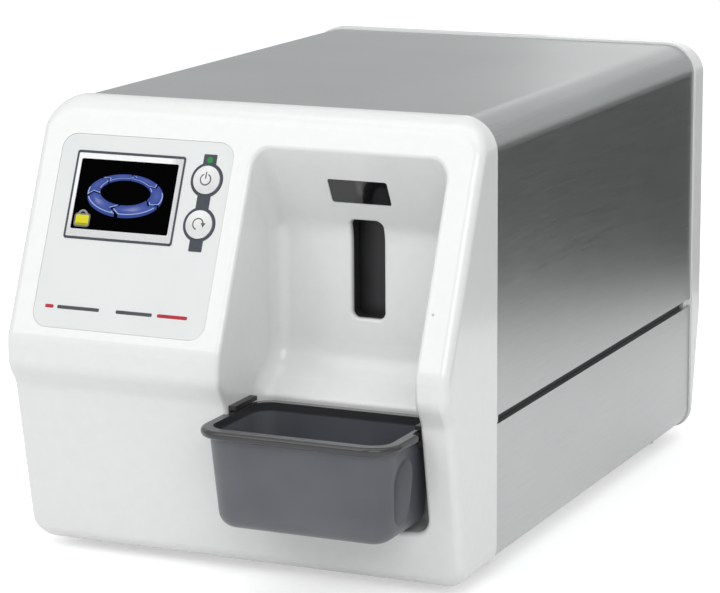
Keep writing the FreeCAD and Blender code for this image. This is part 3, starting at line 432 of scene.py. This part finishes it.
def circuit_green():
    """Solder mask over copper tracks."""
    made = Finish("circuit_green", Roughness=0.35, Coat_Weight=0.3)
    tracks = made.add("ShaderNodeTexBrick", Scale=160.0, offset=0.3)
    tracks.inputs["Mortar Size"].default_value = 0.035
    tracks.inputs["Color1"].default_value = (0.015, 0.13, 0.05, 1)
    tracks.inputs["Color2"].default_value = (0.018, 0.16, 0.06, 1)
    tracks.inputs["Mortar"].default_value = (0.05, 0.30, 0.12, 1)
    made.join(made.point(), tracks.inputs["Vector"])
    made.feed("Base Color", tracks.outputs["Color"])
    made.bump(tracks.outputs["Fac"], 0.2, 0.05 * MM)
    return made.material


def screen_glow(name, colour, strength=0.9):
    """Flat lit colour of the display's picture."""
    made = Finish(name, Base_Color=(0.0, 0.0, 0.0), Roughness=0.4,
                  Emission_Color=colour, Emission_Strength=strength)
    made.shader.inputs["Specular IOR Level"].default_value = 0.1
    return made.material


def screen_blue():
    """Lit blue of the ring segments, paler towards the middle of each."""
    made = Finish("screen_blue", Base_Color=(0.0, 0.0, 0.0), Roughness=0.4, Emission_Strength=0.9)
    made.shader.inputs["Specular IOR Level"].default_value = 0.1
    glow = made.add("ShaderNodeAttribute", attribute_name="glow")
    made.feed("Emission Color", made.ramp(glow.outputs["Fac"], (0.0, (0.046, 0.080, 0.340)),
                                          (0.5, (0.085, 0.125, 0.420)), (1.0, (0.215, 0.260, 0.520))))
    return made.material


FINISHES = {
    "cover_white": white_gloss(),
    "satin_metal": satin_steel(),
    "black_plastic": plain_plastic("black_plastic", (0.022, 0.022, 0.024), 0.42),
    "rubber": plain_plastic("soft_rubber", (0.026, 0.026, 0.027), 0.72, 1800.0, 0.4, 0.2),
    "screw_steel": plain_metal("screw_steel", (0.56, 0.56, 0.57), 0.30),
    "panel_film": printed_film(),
    "slate_print": slate_ink(),
    "bezel_white": hatched_bezel(),
    "display_glass": display_glass(),
    "board_green": circuit_green(),
    "led_green": lamp_green(),
    "smoked_glass": tinted_pane(),
    "smoky_tray": smoky_plastic(),
    "frame_aluminium": plain_metal("frame_aluminium", (0.66, 0.67, 0.68), 0.36),
    "ground_steel": plain_metal("ground_steel", (0.58, 0.58, 0.59), 0.2, 1.6),
    "motor_black": plain_plastic("motor_black", (0.018, 0.018, 0.020), 0.38, 1400.0, 0.3),
    "brass": plain_metal("turned_brass", (0.72, 0.50, 0.20), 0.24, 1.4),
    "mirror_steel": plain_metal("mirror_steel", (0.88, 0.89, 0.90), 0.05, 0.5),
    "clear_acrylic": clear_acrylic(),
    "ribbon_grey": plain_plastic("ribbon_grey", (0.42, 0.43, 0.45), 0.5),
    "chrome_wire": plain_metal("chrome_wire", (0.70, 0.70, 0.71), 0.12, 0.6),
    "plate_silver": plain_metal("plate_silver", (0.66, 0.67, 0.68), 0.33, 0.8),
    "button_white": plain_plastic("button_white", (0.82, 0.83, 0.82), 0.30, 2600.0, 0.08, 0.0),
}
INK_GREY = plain_plastic("ink_grey", (0.115, 0.115, 0.105), 0.5, 6000.0, 0.1, 0.0)
INK_DARK = plain_plastic("ink_dark", (0.055, 0.060, 0.066), 0.5, 6000.0, 0.1, 0.0)
INK_RED = plain_plastic("ink_red", (0.47, 0.006, 0.022), 0.5, 6000.0, 0.1, 0.0)


# ---- mesh helpers -------------------------------------------------------------------------

def finish_piece(name, bm, body, slot, *materials):
    """Turns a bmesh into a piece of the object that rides on a body."""
    mesh = bpy.data.meshes.new(name)
    bm.to_mesh(mesh)
    bm.free()
    for material in materials:
        mesh.materials.append(material)
    piece = bpy.data.objects.new(name, mesh)
    bpy.context.scene.collection.objects.link(piece)
    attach(piece, body)
    return piece


def rounded_plate(width, height, radius, thick):
    """Flat plate centred on the origin, with rounded corners, from z = 0 up."""
    bm = bmesh.new()
    bmesh.ops.create_grid(bm, x_segments=1, y_segments=1, size=0.5)
    bmesh.ops.scale(bm, vec=(width, height, 1), verts=bm.verts)
    bmesh.ops.bevel(bm, geom=bm.verts[:], offset=radius, segments=5, profile=0.5,
                    affect="VERTICES", material=-1)
    thicken(bm, thick)
    return bm


def thicken(bm, thick):
    """Gives the flat faces of a bmesh a thickness along Z, as closed solids."""
    made = bmesh.ops.extrude_face_region(bm, geom=bm.faces[:], use_keep_orig=True)
    lifted = [item for item in made["geom"] if isinstance(item, bmesh.types.BMVert)]
    bmesh.ops.translate(bm, verts=lifted, vec=(0, 0, thick))
    bmesh.ops.recalc_face_normals(bm, faces=bm.faces[:])


def swept_arc(bm, radius, width, start, sweep, steps):
    """Flat arc band round the origin; angles in degrees, anticlockwise from +X."""
    ends = [bm.verts.new((radius + side * width / 2, 0, 0)) for side in (-1, 1)]
    edge = bm.edges.new(ends)
    turn = Matrix.Rotation(math.radians(start), 3, "Z")
    bmesh.ops.rotate(bm, verts=ends, cent=(0, 0, 0), matrix=turn)
    bmesh.ops.spin(bm, geom=[*ends, edge], cent=(0, 0, 0), axis=(0, 0, 1),
                   angle=math.radians(sweep), steps=steps)


# ---- CAD nodes ----------------------------------------------------------------------------

def dress_cad_nodes():
    """Gives every CAD node the finish of its material slot."""
    for entry in frame["record"]["subparts"]:
        node = frame["nodes"][entry["node"]]
        node.data.materials.clear()
        node.data.materials.append(FINISHES[entry["material_slot"]])


dress_cad_nodes()


# ---- button symbols -----------------------------------------------------------------------

DOME_R = 22.0 * MM            # radius of a button's domed top
CAP_DEPTH = 0.85 * MM         # how far the dome's edge lies under its crown
SYMBOL_R = 2.35 * MM
SYMBOL_W = 0.58 * MM          # width of the printed lines
SYMBOL_LIFT = 0.02 * MM
BAR_TALL = 3.0 * MM           # upright bar of the power symbol
BAR_UP = 1.75 * MM            # its middle over the middle of the ring
HEAD_R = 1.3 * MM             # arrowhead of the restart symbol
HEAD_AT = Vector((SYMBOL_R, -0.1 * MM, 0))
INK_THICK = 0.03 * MM
LONGEST_EDGE = 0.6 * MM       # longer edges are divided before they are laid on the dome


def lay_on_dome(bm, node):
    """Lays a flat symbol on a button's domed top."""
    low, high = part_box(node)
    foot = on_face(0, FACE_FOOT.z).inverted()
    tops = [foot @ vertex.co for vertex in frame["nodes"][node].data.vertices]
    crown = max(point.z for point in tops)
    edge = [point.y for point in tops if point.z > crown - CAP_DEPTH]
    centre_up = (min(edge) + max(edge)) / 2
    bmesh.ops.subdivide_edges(bm, edges=[e for e in bm.edges if e.calc_length() > LONGEST_EDGE], cuts=2)
    for vertex in bm.verts:
        away = Vector((vertex.co.x, vertex.co.y)).length
        vertex.co.z += math.sqrt(DOME_R ** 2 - away ** 2) - DOME_R
    centre = Vector(((low.x + high.x) / 2, centre_up, crown + SYMBOL_LIFT - INK_THICK))
    bm.transform(on_face(0, FACE_FOOT.z) @ Matrix.Translation(centre))


def power_symbol():
    """Broken ring with an upright bar."""
    bm = bmesh.new()
    swept_arc(bm, SYMBOL_R, SYMBOL_W, start=115, sweep=310, steps=40)
    bar = bmesh.ops.create_grid(bm, x_segments=1, y_segments=6, size=0.5)["verts"]
    bmesh.ops.scale(bm, vec=(SYMBOL_W, BAR_TALL, 1), verts=bar)
    bmesh.ops.translate(bm, vec=(0, BAR_UP, 0), verts=bar)
    thicken(bm, INK_THICK)
    lay_on_dome(bm, "power_button")
    finish_piece("power_symbol", bm, "power_key", "slate_print", INK_GREY)


def restart_symbol():
    """Open ring that ends in an arrowhead."""
    bm = bmesh.new()
    swept_arc(bm, SYMBOL_R, SYMBOL_W, start=5, sweep=250, steps=36)
    head = bmesh.ops.create_circle(bm, cap_ends=True, segments=3, radius=HEAD_R)["verts"]
    bmesh.ops.rotate(bm, verts=head, cent=(0, 0, 0), matrix=Matrix.Rotation(math.radians(180), 3, "Z"))
    bmesh.ops.translate(bm, vec=HEAD_AT, verts=head)
    thicken(bm, INK_THICK)
    lay_on_dome(bm, "restart_button")
    finish_piece("restart_symbol", bm, "restart_key", "slate_print", INK_GREY)


power_symbol()
restart_symbol()


# ---- picture on the display ---------------------------------------------------------------

SEGMENTS = 6
RING_WIDE = 17.4 * MM         # half width of the ring before perspective
RING_TALL = 8.2 * MM
RING_HOLE = 0.690             # hole as a share of the ring
RING_TILT = 0.24              # how much the near side grows and the far side shrinks
RING_DEPTH = 1.05 * MM        # drawn thickness of the segments
RING_STEPS = 10               # divisions along a segment
TIP_ANGLE = 10.0              # degrees that a segment's point runs ahead of its corners
GAP_ANGLE = 4.6               # degrees between segments
FIRST_JOINT = -97.0
PALE_BAND = 0.028             # width of the pale lower edges, as a share of the ring
GLOW_GAIN = 1.3
SEGMENT_LIFT = 0.05 * MM      # top and foot of a segment over the glass
SEGMENT_FOOT = 0.02 * MM


def peak(share):
    """1 half way along a share of 0 to 1, and 0 at both its ends."""
    return 1 - abs(2 * share - 1)


def picture_point(x, y, drop):
    """Where a point of the unit ring shows on the display, dropped by a share of the ring's depth."""
    depth = 1 + RING_TILT * y
    return Vector((RING_WIDE * x / depth, (RING_TALL * y - RING_DEPTH * drop) / depth, 0))


def is_joint(edge, length):
    """True for an edge in the pointed end or the notched end of a segment."""
    spots = [vertex[length] for vertex in edge.verts]
    return max(spots) < 0.001 or min(spots) > 0.999


def ring_segment(number, place):
    """One arrow-shaped segment of the ring, lit, with pale lower edges and a darker side."""
    bm = bmesh.new()
    start = FIRST_JOINT + number * 360 / SEGMENTS + GAP_ANGLE / 2
    sweep = 360 / SEGMENTS - GAP_ANGLE
    across = []
    for share in (0, 0.25, 0.5, 0.75, 1):
        ahead = math.radians(start - TIP_ANGLE * peak(share))
        radius = RING_HOLE + (1 - RING_HOLE) * share
        across.append(bm.verts.new((radius * math.cos(ahead), radius * math.sin(ahead), 0)))
    edges = [bm.edges.new(pair) for pair in zip(across, across[1:])]
    bmesh.ops.spin(bm, geom=across + edges, cent=(0, 0, 0), axis=(0, 0, 1),
                   angle=math.radians(sweep), steps=RING_STEPS)
    bmesh.ops.recalc_face_normals(bm, faces=bm.faces[:])
    glow = bm.verts.layers.float.new("glow")
    length = bm.verts.layers.float.new("length")
    near = 0.35 + 0.65 * max(0.0, -math.sin(math.radians(start + sweep / 2)))
    for vertex in bm.verts:
        share = (vertex.co.length - RING_HOLE) / (1 - RING_HOLE)
        turned = math.degrees(math.atan2(vertex.co.y, vertex.co.x)) - start
        turned = (turned + TIP_ANGLE * peak(share)) % 360
        along = min(1.0, turned / sweep)
        vertex[length] = along
        vertex[glow] = near * peak(share) * peak(along) * GLOW_GAIN
    border = bmesh.ops.inset_region(bm, faces=bm.faces[:], thickness=PALE_BAND, use_boundary=True,
                                    use_even_offset=True)["faces"]
    for face in border:
        rim = [e for e in face.edges if e.is_boundary]
        if rim:
            outward = sum(((v.co for v in rim[0].verts)), Vector()) / 2 - face.calc_center_median()
            face.material_index = 1 if outward.y < 0 else 0
    rims = [e for e in bm.edges if e.is_boundary and not is_joint(e, length)]
    made = bmesh.ops.extrude_edge_only(bm, edges=rims)["geom"]
    dropped = {item for item in made if isinstance(item, bmesh.types.BMVert)}
    for face in (item for item in made if isinstance(item, bmesh.types.BMFace)):
        face.material_index = 2
    for vertex in bm.verts:
        below = vertex in dropped
        vertex.co = picture_point(vertex.co.x, vertex.co.y, 1.0 if below else 0.0)
        vertex.co.z = SEGMENT_FOOT if below else SEGMENT_LIFT
    bm.transform(place)
    finish_piece(f"ring_segment_{number + 1}", bm, "chassis", "display_glass", SCREEN_BLUE,
                 SCREEN_EDGE, SCREEN_SIDE)


SCREEN_BLUE = screen_blue()
SCREEN_EDGE = screen_glow("screen_edge", (0.37, 0.47, 0.80))
SCREEN_SIDE = screen_glow("screen_side", (0.035, 0.070, 0.300))
SCREEN_HALO = screen_glow("screen_halo", (0.28, 0.27, 0.30), 0.6)
SCREEN_YELLOW = screen_glow("screen_yellow", (0.80, 0.74, 0.03))
SCREEN_OLIVE = screen_glow("screen_olive", (0.42, 0.38, 0.02))
SCREEN_SILVER = screen_glow("screen_silver", (0.40, 0.40, 0.40), 0.7)
LOCK_PLATES = [      # name, width, height, corner radius, thickness, place up and lift, in mm, and glow
    ("lock_halo", 7.6, 6.0, 1.4, 0.01, 0.0, 0.0, SCREEN_HALO),
    ("lock_body", 6.2, 4.5, 0.5, 0.03, 0.0, 0.02, SCREEN_YELLOW),
    ("lock_base", 5.8, 0.9, 0.3, 0.02, -1.75, 0.04, SCREEN_OLIVE),
]
SHACKLE_R = 1.9 * MM
SHACKLE_W = 0.9 * MM
SHACKLE_THICK = 0.02 * MM
SHACKLE_AT = Vector((0, 2.2, 0.02)) * MM


def lock_symbol(place):
    """Small closed padlock, without lettering."""
    for name, wide, tall, corner, thick, up, lift, glow in LOCK_PLATES:
        plate = rounded_plate(wide * MM, tall * MM, corner * MM, thick * MM)
        plate.transform(place @ Matrix.Translation(Vector((0, up, lift)) * MM))
        finish_piece(name, plate, "chassis", "display_glass", glow)
    shackle = bmesh.new()
    swept_arc(shackle, SHACKLE_R, SHACKLE_W, start=0, sweep=180, steps=20)
    thicken(shackle, SHACKLE_THICK)
    shackle.transform(place @ Matrix.Translation(SHACKLE_AT))
    finish_piece("lock_shackle", shackle, "chassis", "display_glass", SCREEN_SILVER)


GLASS_DEPTH = 0.3 * MM        # depth of the display's glass under the bare face
PICTURE_LIFT = 0.005 * MM     # the picture over the glass
RING_MIDDLE = Vector((0.15, 0, 3.2)) * MM    # from the middle of the glass
LOCK_CORNER = Vector((4.9, 0, 4.5)) * MM     # from the lower left corner of the glass


def display_picture():
    """The ring of segments and the padlock on the display's glass."""
    ring = middle("display_window") + RING_MIDDLE
    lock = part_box("display_window")[0] + LOCK_CORNER
    for number in range(SEGMENTS):
        ring_segment(number, on_face(ring.x, ring.z, PICTURE_LIFT - GLASS_DEPTH))
    lock_symbol(on_face(lock.x, lock.z, PICTURE_LIFT - GLASS_DEPTH))


display_picture()


# ---- print on the panel film --------------------------------------------------------------

MARK_UP = 8.4 * MM            # middle of the bars over the film's foot
MARK_TALL = 1.5 * MM
MARK_ROUND = 0.5 * MM
MARK_DEPTH = 0.095 * MM       # back of the bars under the bare face, just over the film
MARKS = [                     # name, middle from the film's left edge, width, both in mm, and ink
    ("mark_left", 21.0, 20.0, INK_DARK),
    ("mark_left_tip", 7.2, 4.0, INK_RED),
    ("mark_middle", 47.5, 17.0, INK_DARK),
    ("mark_right", 65.5, 14.0, INK_RED),
]


def panel_marks():
    """Plain bars in place of lettering at the foot of the film."""
    for name, across, wide, ink in MARKS:
        bar = rounded_plate(wide * MM, MARK_TALL, MARK_ROUND, INK_THICK)
        bar.transform(on_face(film_low.x + across * MM, film_low.z + MARK_UP, -MARK_DEPTH))
        finish_piece(name, bar, "chassis", "slate_print", ink)


panel_marks()


# ---- camera, light and floor --------------------------------------------------------------

CAMERA_AT = Vector((0.54139, -1.19255, 0.37150))
CAMERA_YAW = 24.590
CAMERA_PITCH = -11.992
CAMERA_ROLL = -0.390
CAMERA_LENS = 147.74


def add_camera():
    """Camera at the front right, slightly above."""
    camera = bpy.data.objects.new("camera", bpy.data.cameras.new("camera"))
    camera.data.lens = CAMERA_LENS
    camera.data.sensor_width = 36.0
    camera.data.clip_start = 0.05
    yaw = Matrix.Rotation(math.radians(CAMERA_YAW), 4, "Z")
    pitch = Matrix.Rotation(math.radians(90 + CAMERA_PITCH), 4, "X")
    roll = Matrix.Rotation(math.radians(CAMERA_ROLL), 4, "Z")
    camera.matrix_world = Matrix.Translation(CAMERA_AT) @ yaw @ pitch @ roll
    bpy.context.scene.collection.objects.link(camera)
    bpy.context.scene.camera = camera


def add_lamp(name, place, target, size, power):
    """Large soft white area lamp that looks at a target."""
    data = bpy.data.lights.new(name, "AREA")
    data.shape = "RECTANGLE"
    data.size, data.size_y = size
    data.energy = power
    lamp = bpy.data.objects.new(name, data)
    lamp.location = place
    lamp.rotation_euler = (Vector(target) - Vector(place)).to_track_quat("-Z", "Y").to_euler()
    bpy.context.scene.collection.objects.link(lamp)


def lay_sheet(name, bm, material):
    """Puts a flat sheet into the scene as part of the stage."""
    mesh = bpy.data.meshes.new(name)
    bm.to_mesh(mesh)
    bm.free()
    mesh.materials.append(material)
    sheet = bpy.data.objects.new(name, mesh)
    bpy.context.scene.collection.objects.link(sheet)
    return sheet


FLOOR_REACH = 12.0             # half size of the floor
FLOOR_LIFT = 0.46              # glow of the floor as the camera sees it
FLOOR_SHINE = 0.34             # and as glossy surfaces see it


def add_floor():
    """Plain pale floor."""
    bm = bmesh.new()
    bmesh.ops.create_grid(bm, x_segments=1, y_segments=1, size=FLOOR_REACH)
    made = Finish("floor_white", Base_Color=(0.80, 0.80, 0.80), Roughness=0.6,
                  Emission_Color=(1.0, 1.0, 1.0))
    ray = made.add("ShaderNodeLightPath")
    seen = made.math("MULTIPLY", ray.outputs["Is Camera Ray"], FLOOR_LIFT)
    mirrored = made.math("MULTIPLY", ray.outputs["Is Glossy Ray"], FLOOR_SHINE)
    made.feed("Emission Strength", made.math("ADD", seen, mirrored))
    lay_sheet("floor", bm, made.material)


FLAG_AT = (0.33, 0.27, 0.0)    # a point of the flag's near edge
FLAG_TURN = 33.0               # degrees that this edge turns from +Y towards -X
FLAG_REACH = 2.5               # half size of the flag
FLAG_NEAR = 0.6                # how far the near edge runs on towards the viewer
FLAG_LIFT = 0.004


def add_flag():
    """Dark cloth on the floor at the right, seen only in reflections."""
    bm = bmesh.new()
    bmesh.ops.create_grid(bm, x_segments=1, y_segments=1, size=FLAG_REACH)
    bmesh.ops.translate(bm, vec=(FLAG_REACH, FLAG_REACH - FLAG_NEAR, FLAG_LIFT), verts=bm.verts)
    bmesh.ops.rotate(bm, matrix=Matrix.Rotation(math.radians(FLAG_TURN), 3, "Z"), verts=bm.verts)
    bmesh.ops.translate(bm, vec=FLAG_AT, verts=bm.verts)
    cloth = Finish("flag_grey", Base_Color=(0.06, 0.06, 0.06), Roughness=0.9)
    flag = lay_sheet("flag", bm, cloth.material)
    flag.visible_camera = False
    flag.visible_diffuse = False
    flag.visible_shadow = False


WORLD_COLOUR = (0.925, 0.935, 0.945)
WORLD_STRENGTH = 0.66


def add_world():
    """Even pale surroundings."""
    world = bpy.data.worlds.new("studio")
    world.use_nodes = True
    background = world.node_tree.nodes["Background"]
    background.inputs["Color"].default_value = (*WORLD_COLOUR, 1)
    background.inputs["Strength"].default_value = WORLD_STRENGTH
    bpy.context.scene.world = world


MIDDLE = (0, 0, 0.1)

add_camera()
add_floor()
add_world()
add_flag()
add_lamp("key_left", (-1.3, -1.9, 1.9), MIDDLE, (1.6, 1.6), 12)
add_lamp("front_high", (1.1, -2.1, 1.5), MIDDLE, (1.8, 1.0), 15)
add_lamp("overhead", (0.1, -0.4, 2.2), (0, -0.05, 0.1), (2.2, 1.4), 12)
add_lamp("top_back", (-0.3, 2.6, 0.75), (0, 0.1, 0.1), (1.2, 0.7), 1.6)
bpy.context.scene.view_settings.view_transform = "Standard"
